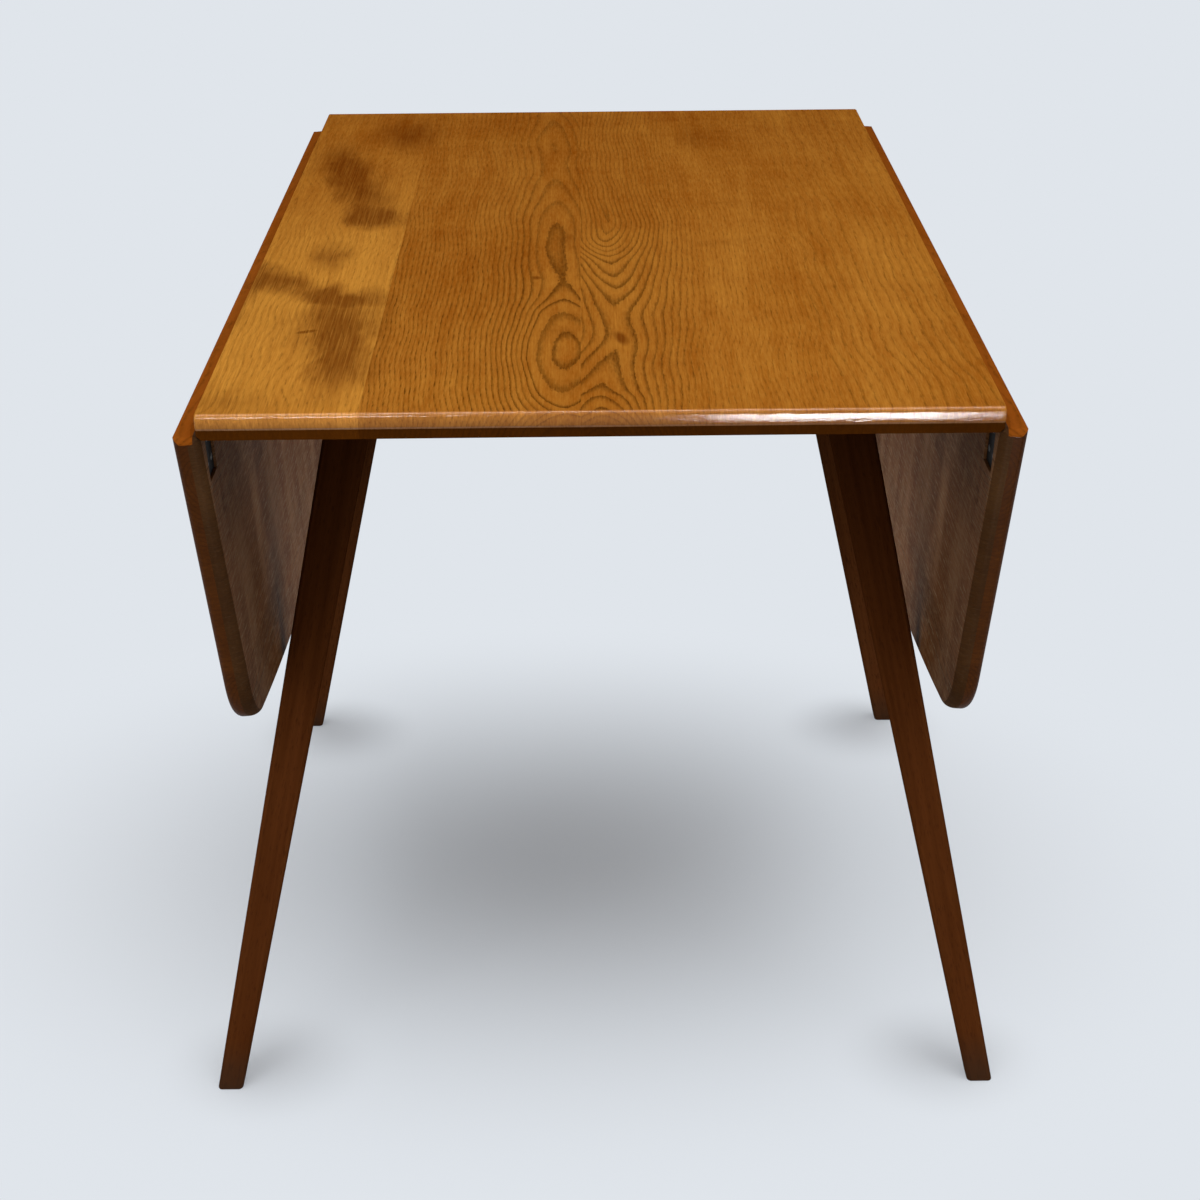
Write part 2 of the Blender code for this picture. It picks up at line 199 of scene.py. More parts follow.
# each board, in metres: where it ends across the table, its heart line across and how deep that runs (along the
# board), ring width, more rings a metre past "wide", how pointed the arches are, how much the lines sway, line
# contrast at the heart and away from it, how unbroken the lines stay, tone (one for the board, or along it)
elmCentreBoards = [
    dict(edge=-0.188, heart=((-0.565, -0.330), (0.565, -0.335)),
         depth=((-0.565, 0.034), (-0.42, 0.018), (-0.29, 0.027), (-0.195, 0.034), (-0.08, 0.022), (0.0, 0.014),
                (0.1, 0.028), (0.25, 0.018), (0.4, 0.032), (0.565, 0.024)),
         ring=0.0056, wide=0.0, extra=0.0, point=0.0, sway=0.011, contrast=0.25, calm=0.30,
         tone=((-0.565, 0.86), (-0.1, 0.84), (0.03, 0.66), (0.15, 0.52), (0.3, 0.50), (0.42, 0.40),
               (0.565, 0.32))),
    dict(edge=-0.0152,
         heart=((-0.565, -0.027), (-0.404, -0.029), (-0.184, -0.035), (0.159, -0.041), (0.565, -0.050)),
         depth=((-0.565, 0.038), (-0.507, 0.025), (-0.437, 0.009), (-0.404, 0.002), (-0.37, 0.009), (-0.302, 0.025),
                (-0.2, 0.0400), (-0.13, 0.0395), (-0.031, 0.0390), (0.069, 0.0425), (0.159, 0.0470), (0.26, 0.0505),
                (0.379, 0.0495), (0.46, 0.052), (0.565, 0.056)),
         ring=0.0135, wide=0.034, extra=150.0, point=0.06, sway=0.004, contrast=0.86, calm=0.92,
         tone=((-0.565, 0.46), (-0.44, 0.39), (-0.3, 0.34), (0.565, 0.34))),
    dict(edge=0.189, heart=((-0.565, 0.001), (-0.508, 0.003), (-0.437, 0.007), (-0.36, 0.018), (-0.297, 0.016),
                            (-0.125, 0.015), (0.107, 0.008), (0.407, -0.002), (0.565, 0.004)),
         depth=((-0.565, 0.034), (-0.532, 0.0395), (-0.508, 0.0445), (-0.437, 0.0495), (-0.33, 0.0530),
                (-0.252, 0.0495), (-0.207, 0.0445), (-0.168, 0.0395), (-0.125, 0.0345), (-0.085, 0.0245),
                (-0.05, 0.0150), (-0.02, 0.010), (0.03, 0.0050), (0.107, 0.003), (0.25, 0.0022), (0.4, 0.0018),
                (0.565, 0.001)),
         ring=0.0051, wide=0.0, extra=0.0, point=0.12, sway=0.004, contrast=0.86, calm=0.34, tone=0.37),
    dict(edge=9.0, heart=((-0.565, 0.42), (0.565, 0.40)),
         depth=((-0.565, 0.060), (-0.3, 0.030), (0.1, 0.040), (0.565, 0.024)),
         ring=0.0088, wide=0.0, extra=0.0, point=0.0, sway=0.006, contrast=0.40, calm=0.37, hold=0.66, tone=0.43),
]
elmLeafBoards = [
    dict(edge=0.118, heart=((-0.565, 0.040), (0.0, 0.056), (0.565, 0.066)),
         depth=((-0.565, 0.036), (-0.32, 0.024), (-0.11, 0.006), (0.09, 0.018), (0.31, 0.030), (0.565, 0.040)),
         ring=0.0060, wide=0.02, extra=60.0, point=0.2, sway=0.004, contrast=1.0, calm=0.7, tone=0.40),
    dict(edge=0.226, heart=((-0.565, 0.33), (0.565, 0.30)), depth=((-0.565, 0.030), (0.0, 0.018), (0.565, 0.028)),
         ring=0.0052, wide=0.0, extra=0.0, point=0.0, sway=0.008, contrast=0.7, calm=0.6, tone=0.48),
    dict(edge=9.0, heart=((-0.565, 0.255), (0.565, 0.272)),
         depth=((-0.565, 0.040), (-0.28, 0.030), (0.0, 0.022), (0.23, 0.012), (0.565, 0.004)),
         ring=0.0056, wide=0.02, extra=60.0, point=0.25, sway=0.004, contrast=1.0, calm=0.7, tone=0.37),
]
# soft dark clouds where the fibres turn, and small knots: across, along, two half widths, turn, strength
elmCentreMarks = [
    (-0.286, -0.180, 0.040, 0.110, 0.63, 1.1), (-0.226, -0.235, 0.060, 0.034, 0.0, 0.7),
    (-0.226, -0.315, 0.058, 0.140, 0.0, 1.15), (-0.212, -0.430, 0.042, 0.130, 0.0, 1.1),
    (-0.250, -0.343, 0.005, 0.012, -1.1, 1.0), (-0.290, -0.535, 0.080, 0.070, 0.0, 0.6),
    (-0.326, -0.230, 0.032, 0.170, 0.0, 0.9), (-0.252, -0.085, 0.030, 0.070, 0.0, 0.8),
    (-0.218, 0.050, 0.060, 0.060, 0.3, 0.95), (-0.245, 0.165, 0.046, 0.190, 0.15, 1.05),
    (-0.280, 0.310, 0.046, 0.150, 0.1, 0.9), (-0.210, 0.440, 0.060, 0.130, 0.0, 0.9),
    (0.125, -0.055, 0.070, 0.024, 0.0, 0.4), (0.140, 0.095, 0.050, 0.016, 0.0, 0.4),
    (0.115, 0.420, 0.060, 0.110, 0.0, 0.5), (-0.034, -0.030, 0.026, 0.075, 0.0, 0.5),
    (0.019, -0.371, 0.0075, 0.028, 0.15, 1.6), (-0.0555, -0.178, 0.006, 0.009, 0.0, 1.4),
    (-0.030, -0.350, 0.018, 0.036, 0.0, 0.5),
]
elmLeafMarks = [
    (0.075, -0.210, 0.050, 0.180, 0.2, 0.8), (0.170, 0.120, 0.055, 0.140, -0.3, 0.7),
    (0.240, -0.330, 0.060, 0.150, 0.1, 0.7),
]
# noises on the elm: cycles a metre across, along and through the board, detail, roughness
elmNoise = dict(
    sway=((9.0, 6.5, 9.0), 1.0, 0.4),  # slow wander of the ring lines
    ragged=((420.0, 110.0, 160.0), 4.0, 0.65),  # their ragged edges
    pore=((850.0, 62.0, 300.0), 2.0, 0.6),  # dashes about 1 mm wide and 15 mm long
    pull=((26.0, 9.0, 10.0), 3.0, 0.6),  # pulls the clouds about
    fibre=((700.0, 9.0, 200.0), 3.0, 0.6),  # streaks about 1 mm apart
    drift=((11.0, 2.4, 4.0), 2.0, 0.5),  # slow change of tone over a board
    streak=((80.0, 6.0, 30.0), 2.0, 0.5),  # streaks about 12 mm wide
    fleck=((480.0, 48.0, 160.0), 3.0, 0.65),  # flecks about 2 mm by 20 mm
    flame=((5.0, 17.0, 5.0), 4.0, 0.6),  # shimmer across the grain, about 60 mm along the board
    wavy=((70.0, 70.0, 520.0), 3.0, 0.6),  # lacquer over the end grain
)
elmRings = dict(
    heartSpan=(-0.5, 0.5), depthSpan=(0.0, 0.1), toneSpan=(0.0, 1.0), noiseSpan=(0.3, 0.7), wideSpan=(0.25, 0.75),
    calmFrom=(0.06, 0.11), breakFrom=(0.05, 0.10), held=0.85, farHeld=0.38,  # by metres from the heart
    jag=0.11, years=(0.6, 1.0), poreFrom=(0.47, 0.64), poreOutside=0.15,
    profile=((0.0, 0.6), (0.07, 0.12), (0.40, 0.0), (0.66, 0.22), (0.86, 0.85), (0.96, 1.0)),  # over one ring
    farFrom=(0.3, 0.7), farLines=0.38, deepFrom=(0.45, 0.95), deeper=-0.10,  # by share of the board's length
    pullBy=(0.06, 0.10, 0.0), pullBack=(-0.03, -0.05, 0.0), knot=0.016, markDeep=0.5, cloudFull=1.15,
    cloudStreak=(0.7, 1.25), tones=(("drift", 0.18), ("streak", 0.12), ("fleck", 0.20)))


def alongCurve(tree, place, points, span):
    # a value that follows the board from its near end to its far end
    low, high = span
    curve = addNode(tree, "ShaderNodeFloatCurve", None, {"Value": place})
    line = curve.mapping.curves[0]
    while len(line.points) < len(points):
        line.points.new(0.5, 0.5)
    for point, (y, value) in zip(line.points, points):
        point.location = (y / table["length"] + 0.5, (value - low) / (high - low))
        point.handle_type = "AUTO"
    curve.mapping.update()
    return calc(tree, "MULTIPLY_ADD", curve.outputs[0], high - low, low)


def ringsOfBoard(tree, board, place, across, through, sway):
    # rings as the surface cuts them: distance from a heart line that dips and rises along the board
    spec = elmRings
    heart = alongCurve(tree, place, board["heart"], spec["heartSpan"])
    depth = alongCurve(tree, place, board["depth"], spec["depthSpan"])
    swayed = calc(tree, "MULTIPLY_ADD", sway, board["sway"], across)
    offset = calc(tree, "SUBTRACT", swayed, heart)
    rise = calc(tree, "ADD", depth, through)
    square = calc(tree, "MULTIPLY", offset, offset)
    distance = calc(tree, "SQRT", calc(tree, "MULTIPLY_ADD", rise, rise, square))
    distance = calc(tree, "MULTIPLY_ADD", calc(tree, "ABSOLUTE", offset), board["point"], distance)
    past = calc(tree, "MAXIMUM", calc(tree, "SUBTRACT", distance, board["wide"]), 0.0)
    past = calc(tree, "MULTIPLY", past, board["extra"])
    count = calc(tree, "MULTIPLY_ADD", distance, 1 / board["ring"], past)
    fade = remap(tree, distance, spec["calmFrom"], (board["contrast"], board["calm"]))
    hold = remap(tree, distance, spec["breakFrom"], (spec["held"], board.get("hold", spec["farHeld"])))
    tone = board["tone"]
    if not isinstance(tone, float):
        tone = alongCurve(tree, place, tone, spec["toneSpan"])
    return [count, fade, tone, hold]


def elmClouds(tree, grain, pull, marks):
    # each cloud is a soft oval, pulled about by the grain; knots keep their shape
    spec = elmRings
    pulled = addNode(tree, "ShaderNodeVectorMath", {"operation": "MULTIPLY_ADD", 1: spec["pullBy"], 2: spec["pullBack"]},
                     {0: pull})
    loose = addNode(tree, "ShaderNodeVectorMath", dict(operation="ADD"), {0: grain, 1: pulled.outputs[0]}).outputs[0]
    clouds = 0.0
    for x, y, wide, long, turn, weight in marks:
        settings = dict(vector_type="TEXTURE", Location=(x, y, 0.0), Rotation=(0.0, 0.0, turn),
                        Scale=(wide, long, spec["markDeep"]))
        oval = addNode(tree, "ShaderNodeMapping", settings, {0: loose if wide > spec["knot"] else grain})
        soft = addNode(tree, "ShaderNodeTexGradient", dict(gradient_type="SPHERICAL"), {0: oval.outputs[0]})
        clouds = calc(tree, "MULTIPLY_ADD", soft.outputs[1], weight, clouds)
    return clouds


def elmFigure(tree, boards, marks):
    spec = elmRings
    grain = addNode(tree, "ShaderNodeAttribute", dict(attribute_name="grain")).outputs["Vector"]
    across, along, through = separate(tree, grain)
    place = remap(tree, along, (-table["length"] / 2, table["length"] / 2))
    layers = {key: noise(tree, grain, entry).outputs for key, entry in elmNoise.items()}
    fibre = layers["fibre"][0]
    sway = remap(tree, layers["sway"][0], spec["noiseSpan"], (-1.0, 1.0))
    found = [ringsOfBoard(tree, board, place, across, through, sway) for board in boards]
    chosen = found[0]
    for board, values in zip(boards, found[1:]):
        beyond = calc(tree, "GREATER_THAN", across, board["edge"])
        chosen = [pick(tree, beyond, before, after) for before, after in zip(chosen, values)]
    rings, contrast, tone, solid = chosen
    jag = remap(tree, layers["ragged"][0], spec["wideSpan"], (-spec["jag"], spec["jag"]))
    rings = calc(tree, "ADD", rings, jag)
    profile = addNode(tree, "ShaderNodeValToRGB", None, {0: calc(tree, "FRACT", rings)})
    fillRamp(profile, [(stop, grey(value)) for stop, value in spec["profile"]])
    ring = profile.outputs[0]
    # no two rings are equally dark
    year = addNode(tree, "ShaderNodeTexWhiteNoise", dict(noise_dimensions="1D"), {"W": calc(tree, "FLOOR", rings)})
    yearTone = remap(tree, year.outputs[0], (0.0, 1.0), spec["years"])
    # pores break the ring lines, and most sit on them
    pore = remap(tree, layers["pore"][0], spec["poreFrom"])
    broken = remap(tree, pore, (0.0, 1.0), (solid, 1.0))
    paler = remap(tree, place, spec["farFrom"], (1.0, spec["farLines"]))
    strength = ring
    for share in (contrast, yearTone, broken, paler):
        strength = calc(tree, "MULTIPLY", strength, share)
    pores = calc(tree, "MULTIPLY", pore, remap(tree, ring, (0.0, 1.0), (spec["poreOutside"], 1.0)))
    cloud = remap(tree, elmClouds(tree, grain, layers["pull"][1], marks), (0.0, spec["cloudFull"]), smooth=True)
    streaky = remap(tree, fibre, spec["noiseSpan"], spec["cloudStreak"])
    cloud = calc(tree, "MULTIPLY", cloud, streaky, clamp=True)
    change = remap(tree, place, spec["deepFrom"], (0.0, spec["deeper"]))
    for key, most in spec["tones"]:
        change = calc(tree, "ADD", change, remap(tree, layers[key][0], spec["wideSpan"], (-most, most)))
    toned = calc(tree, "ADD", change, tone, clamp=True)
    return dict(ring=strength, pore=pores, band=cloud, tone=toned, fibre=fibre, flame=layers["flame"][0],
                wavy=layers["wavy"][0], through=through, along=along)


elmFinish = dict(flameFrom=(0.42, 0.68), fibreFrom=(0.3, 0.7), edgeShadeFrom=(-0.0045, -0.0115), midPaintedLightFrom=(0.44, 0.22),
                 poreDeep=0.0004, rippleDeep=0.0006, coatRough=0.08)


def makeElm(name, boards, marks, look):
    # lacquered elm: strong cathedral rings, open pores, a deep amber shine over them
    spec = elmFinish
    material, tree = newMaterial(name)
    figure = elmFigure(tree, boards, marks)
    colour = blend(tree, figure["tone"], look["dark"], look["light"])
    for key in ("flame", "fibre"):
        share = remap(tree, figure[key], spec[key + "From"], (0.0, look[key]))
        colour = blend(tree, share, colour, look[key + "Colour"])
    for key in ("band", "ring", "pore"):
        share = calc(tree, "MULTIPLY", figure[key], look[key])
        colour = blend(tree, share, colour, look[key + "Colour"])
    if look["edgeShade"]:
        # painted shade: the edge darkens downwards over its 7 mm band, for the shade on its lower half
        edgeShadeShare = remap(tree, figure["through"], spec["edgeShadeFrom"], (0.0, look["edgeShade"]))
        colour = blend(tree, edgeShadeShare, colour, look["edgeShadeColour"])
    if look["midPaintedLight"] > 1.0:
        # painted light: paler towards the middle of its length, where more light falls under the table
        fromMiddle = calc(tree, "ABSOLUTE", figure["along"])
        colour = brighten(tree, colour, remap(tree, fromMiddle, spec["midPaintedLightFrom"], (1.0, look["midPaintedLight"])))
    finishShader(tree, {"Specular IOR Level": look["shine"], "Coat Weight": look["coat"],
                        "Coat Roughness": spec["coatRough"]},
                 {"Base Color": colour, "Roughness": remap(tree, figure["fibre"], (0.0, 1.0), look["rough"]),
                  "Normal": relief(tree, figure["pore"], look["bump"], spec["poreDeep"], True),
                  "Coat Normal": relief(tree, figure["wavy"], look["ripple"], spec["rippleDeep"])})
    return material


elmFace = dict(dark="#864409", light="#C68834", flame=0.16, flameColour="#C4842E", fibre=0.34, fibreColour="#763D08",
               band=0.76, bandColour="#5A2402", ring=1.0, ringColour="#4A2504", pore=0.3, poreColour="#3E2208",
               rough=(0.34, 0.46), bump=0.12, ripple=0.0, coat=0.0, shine=0.0, edgeShade=0.0, midPaintedLight=1.0)
# painted shade: the edge is painted darker towards the bottom of its band
elmEdge = dict(elmFace, dark="#8A4A0A", light="#E0963A", ringColour="#643408", ring=0.45, ripple=0.5, coat=0.34,
               shine=0.01, edgeShade=0.42, edgeShadeColour="#4E2402")
# painted highlight: the lower arris is painted pale, a line of light along the edge
elmArrisHighlight = dict(elmEdge, dark="#A0683C", light="#C49468", ring=0.3)
# painted shade: the under-bevel and the low part of the hinge edge are painted far darker than the edge, for the shade
# they lie in
elmBevelShaded = dict(elmEdge, dark="#3A1B03", light="#582D06", flame=0.0, fibreColour="#2C1505", bandColour="#2C1505",
                ringColour="#241104", ripple=0.0, coat=0.0, shine=0.0, edgeShade=0.0)
# painted shade: the leaf's end band is painted dark for the shade it lies in
elmLeafSideShaded = dict(elmBevelShaded, dark="#3C1D06", light="#5E320C", coat=0.05, shine=0.01)
elmJoint = dict(elmFace, dark="#84420E", light="#94521A", flame=0.0, band=0.3, ring=0.4)
elmUnder = dict(elmFace, dark="#42250D", light="#7A4D2C", flame=0.5, flameColour="#9A724F", fibre=0.5,
                fibreColour="#462A16", bandColour="#342010", ring=0.7, ringColour="#2A1A0A", pore=0.42,
                poreColour="#9C8061", rough=(0.5, 0.65), shine=0.01)
# painted shade: the leaf's under-round is painted darker than the underside, for its shade
elmLeafBelowShaded = dict(elmUnder, dark="#2E1A08", light="#4C2E14", flame=0.45, flameColour="#6C4A2A",
                    fibreColour="#331F10", ring=0.2, pore=0.1, poreColour="#725D47")
# painted light: the leaf's underside is painted paler towards the middle of its length
elmLeafInnerLit = dict(elmUnder, midPaintedLight=2.4)
elmCentreTop = makeElm("lacqueredElmCentre", elmCentreBoards, elmCentreMarks, elmFace)
elmCentreEdge = makeElm("lacqueredElmCentreEdge", elmCentreBoards, elmCentreMarks, elmEdge)
elmCentreBevelShaded = makeElm("lacqueredElmCentreBevelPaintedShade", elmCentreBoards, elmCentreMarks, elmBevelShaded)
elmCentreArrisHighlight = makeElm("paintedHighlightElmCentreArris", elmCentreBoards, elmCentreMarks, elmArrisHighlight)
elmCentreUnder = makeElm("sealedElmCentreUnderside", elmCentreBoards, elmCentreMarks, elmUnder)
elmLeafTop = makeElm("lacqueredElmLeaf", elmLeafBoards, elmLeafMarks, elmFace)
elmLeafEdgeShaded = makeElm("lacqueredElmLeafEdgePaintedShade", elmLeafBoards, elmLeafMarks, elmLeafSideShaded)
elmLeafBevelShaded = makeElm("sealedElmLeafBevelPaintedShade", elmLeafBoards, elmLeafMarks, elmLeafBelowShaded)
elmLeafJoint = makeElm("lacqueredElmLeafJoint", elmLeafBoards, elmLeafMarks, elmJoint)
elmLeafUnderLit = makeElm("sealedElmLeafUndersidePaintedLight", elmLeafBoards, elmLeafMarks, elmLeafInnerLit)

beechFinish = dict(
    streak=((160.0, 3.5, 160.0), 4.0, 0.6), fleck=((900.0, 110.0, 900.0), 1.5, 0.5), wear=((14.0, 14.0, 14.0), 5.0, 0.7),
    stops=(0.25, 0.75), wearFrom=(0.35, 0.75), fleckFrom=(0.58, 0.70), legShadeAndLightFrom=(0.05, 0.5), grimeFrom=(0.05, 0.0),
    patchFrom=(0.35, 0.6), patchLeast=0.45, bump=0.12, deep=0.0004, coatRough=0.15)


def makeBeech(name, look, useGrain, turn=(0.0, 0.0, 0.0)):
    # dark stained beech: close even grain with short darker flecks, satin lacquer
    spec = beechFinish
    material, tree = newMaterial(name)
    source = standing = addNode(tree, "ShaderNodeTexCoord").outputs["Object"]
    if useGrain:
        source = addNode(tree, "ShaderNodeAttribute", dict(attribute_name="grain")).outputs["Vector"]
    turned = addNode(tree, "ShaderNodeMapping", dict(Rotation=turn), {0: source}).outputs[0]
    streak, fleck, wear = (noise(tree, turned, spec[key]).outputs[0] for key in ("streak", "fleck", "wear"))
    ramp = addNode(tree, "ShaderNodeValToRGB", None, {0: streak})
    fillRamp(ramp, list(zip(spec["stops"], (hexColour(look["dark"]), hexColour(look["light"])))))
    colour = ramp.outputs[0]
    for key, layer in (("wear", wear), ("fleck", fleck)):
        share = remap(tree, layer, spec[key + "From"], (0.0, look[key]))
        colour = blend(tree, share, colour, look[key + "Colour"])
    # painted light and shade: lighter towards the foot and darker towards the head, which lies in the top's shade
    along = separate(tree, turned)[1]
    colour = brighten(tree, colour, remap(tree, along, spec["legShadeAndLightFrom"], (1.0 + look["foot"], 1.0 - look["head"])))
    if look["grime"]:
        # feet scuffed and dirty over the lowest 50 mm, in patches
        low = remap(tree, separate(tree, standing)[2], spec["grimeFrom"], (0.0, look["grime"]))
        patchy = remap(tree, wear, spec["patchFrom"], (spec["patchLeast"], 1.0))
        colour = blend(tree, calc(tree, "MULTIPLY", low, patchy), colour, look["grimeColour"])
    finishShader(tree, {"Specular IOR Level": look["shine"], "Coat Weight": look["coat"],
                        "Coat Roughness": spec["coatRough"]},
                 {"Base Color": colour, "Roughness": remap(tree, wear, (0.0, 1.0), look["rough"]),
                  "Normal": relief(tree, streak, spec["bump"], spec["deep"])})
    return material


# foot and head set how much lighter the foot and darker the head are painted, as painted light and shade
legBeech = dict(dark="#361907", light="#4C2810", wear=0.35, wearColour="#42200A", fleck=0.5, fleckColour="#2A1206",
                foot=0.6, head=0.64, grime=0.75, grimeColour="#352A20", rough=(0.32, 0.48), coat=0.0, shine=0.0)
railBeech = dict(legBeech, dark="#4A2A15", light="#6A4226", foot=0.0, head=0.0, grime=0.0, rough=(0.45, 0.6))
# painted light: the rear legs are painted paler than the front ones
backBeechLit = dict(legBeech, dark="#4A2610", light="#663A1C", wearColour="#5A3016", head=0.45, foot=0.3)
beechLeg = makeBeech("stainedBeechLeg", legBeech, True)
beechBackLegLit = makeBeech("stainedBeechBackLegPaintedLight", backBeechLit, True)  # painted light: paler, for the light on the rear legs' inner faces
beechCross = makeBeech("stainedBeechCrossRail", railBeech, False, (0.0, 0.0, math.pi / 2))
beechLong = makeBeech("stainedBeechLongRail", railBeech, False)

metalFinish = dict(detail=5.0, roughness=0.65, stops=(0.3, 0.7), bump=0.15, deep=0.0002)


def makeMetal(name, look):
    # metal with a fine uneven surface: japanned black for hinges, dull zinc for stays, blacked for screws
    spec = metalFinish
    material, tree = newMaterial(name)
    source = addNode(tree, "ShaderNodeTexCoord").outputs["Object"]
    mottle = noise(tree, source, ((look["mottle"],) * 3, spec["detail"], spec["roughness"])).outputs[0]
    ramp = addNode(tree, "ShaderNodeValToRGB", None, {0: mottle})
    fillRamp(ramp, list(zip(spec["stops"], (hexColour(look["dark"]), hexColour(look["light"])))))
    finishShader(tree, {"Metallic": look["metallic"], "Specular IOR Level": look["shine"]},
                 {"Base Color": ramp.outputs[0], "Roughness": remap(tree, mottle, (0.0, 1.0), look["rough"]),
                  "Normal": relief(tree, mottle, spec["bump"], spec["deep"])})
    return material


ironLook = dict(mottle=260.0, dark="#0F0D0C", light="#1E1A17", rough=(0.4, 0.6), metallic=0.0, shine=0.02)
zincLook = dict(mottle=420.0, dark="#8E8F8C", light="#B4B4AE", rough=(0.32, 0.5), metallic=1.0, shine=0.5)
screwLook = dict(mottle=600.0, dark="#2A2A29", light="#4A4946", rough=(0.3, 0.5), metallic=1.0, shine=0.5)
ironBlack = makeMetal("japannedIron", ironLook)
zincSteel = makeMetal("zincPlatedSteel", zincLook)
screwSteel = makeMetal("blackedScrewSteel", screwLook)
print("materials made")

# worked boards


def ease(bm, edges, offset, steps):
    bmesh.ops.bevel(bm, geom=edges, offset=offset, affect="EDGES", segments=steps, profile=0.5, material=-1)


def allOf(bm):
    return bm.verts[:] + bm.edges[:] + bm.faces[:]


def underSteps(work):
    # inward and upward steps from the band to the underside: a small lower arris, painted paler as a highlight line on
    # the centre top, and a steep bevel, or an oval round
    count = work.get("ovalSteps")
    if not count:
        return [(work["step"], work["step"]), (work["run"], work["rise"] - work["step"])]
    turns = [math.pi / 2 * i / count for i in range(count + 1)]
    inward = [(work["step"] + work["run"]) * (1 - math.cos(t)) for t in turns]
    height = [work["rise"] * (1 - math.sin(t)) for t in turns]
    return [(inward[i + 1] - inward[i], height[i] - height[i + 1]) for i in range(count)]


def workBoard(bm, thick, work):
    # one flat outline becomes a board: rounded top arris, upright band, under-bevel or oval
    outline = bm.faces[:]
    grown = bmesh.ops.extrude_face_region(bm, geom=outline)
    lifted = [v for v in grown["geom"] if isinstance(v, bmesh.types.BMVert)]
    bmesh.ops.translate(bm, verts=lifted, vec=(0.0, 0.0, thick))
    bmesh.ops.recalc_face_normals(bm, faces=bm.faces)
    low = [f for f in bm.faces if f.normal.z < -levelTurn]
    for inset, lift in underSteps(work):
        bmesh.ops.inset_region(bm, faces=low, thickness=inset, use_even_offset=True)
        inner = {v for f in low for v in f.verts}
        rim = [v for v in bm.verts if v.co.z < thick / 2 and v not in inner]
        bmesh.ops.translate(bm, verts=rim, vec=(0.0, 0.0, lift))
    upper = [e for e in bm.edges if min(v.co.z for v in e.verts) > thick - weld
             and not all(f.normal.z > levelTurn for f in e.link_faces)]
    ease(bm, upper, work["arris"], work["arrisSteps"])
    if not work.get("ovalSteps"):
        lower = [e for e in bm.edges if all(abs(v.co.z - work["rise"]) < weld for v in e.verts)]
        ease(bm, lower, work["lowerEase"], work["easeSteps"])


def trimFlat(bm, place, normal):
    # saw one side off along a plane and close the cut
    cut = bmesh.ops.bisect_plane(bm, geom=allOf(bm), dist=hair, plane_co=place, plane_no=normal, clear_outer=True)
    ring = [e for e in cut["geom_cut"] if isinstance(e, bmesh.types.BMEdge)]
    bmesh.ops.edgeloop_fill(bm, edges=ring)


def paintBoard(bm, work):
    # material 0 on the face, 1 on the worked edges, 2 underneath, 3 on the under-bevel, 4 on the hinge edge,
    # 5 on the lower arris; the hinge edge below the shown height takes 3, as painted shade
    bm.normal_update()
    for face in bm.faces:
        normal = face.normal
        middle = face.calc_center_median()
        if normal.z > work["faceTurn"]:
            face.material_index = 0
        elif normal.z < -levelTurn:
            face.material_index = 2
        elif abs(normal.x) > sideTurn and middle.x * normal.x < work["jointReach"]:
            # painted shade: below the shown height the hinge edge takes the dark bevel finish
            face.material_index = 4 if middle.z > work["shown"] else 3
        elif middle.z > work["rise"]:
            face.material_index = 1
        else:
            face.material_index = 5 if middle.z > work["rise"] - work["step"] else 3


def squareHingeEdge(bm, edgeX, outward, easeCorners=True):
    # the edge that meets its neighbour: sawn square, relieved below so the leaf can turn, corners eased
    work = edgeWork
    trimFlat(bm, (edgeX, 0.0, 0.0), (outward, 0.0, 0.0))
    if easeCorners:
        corners = [e for e in bm.edges if all(abs(v.co.x - edgeX) < weld for v in e.verts)
                   and e.calc_length() < work["cornerLength"]]
        ease(bm, corners, work["cornerEase"], work["cornerEaseSteps"])
    trimFlat(bm, (edgeX - outward * work["relief"], 0.0, 0.0), (outward, 0.0, -1.0))
    upper = [e for e in bm.edges
             if all(abs(v.co.x - edgeX) < weld and v.co.z > table["thick"] - weld for v in e.verts)]
    ease(bm, upper, work["sideEase"], work["easeSteps"])


def roundLeafCorner(bm, half, slope, end):
    # the corner by the hinge is rasped round, a few flats at a time
    radius, steps = leafWork["cornerRound"], leafWork["cornerSteps"]
    centre = Vector((radius, half - radius * (1 + math.sin(slope)) / math.cos(slope), 0.0))
    for step in range(1, steps):
        turn = math.pi - (math.pi / 2 + slope) * step / steps
        facing = Vector((math.cos(turn), math.sin(turn), 0.0))
        place = centre + radius * facing
        trimFlat(bm, (place.x, end * place.y, 0.0), (facing.x, end * facing.y, 0.0))


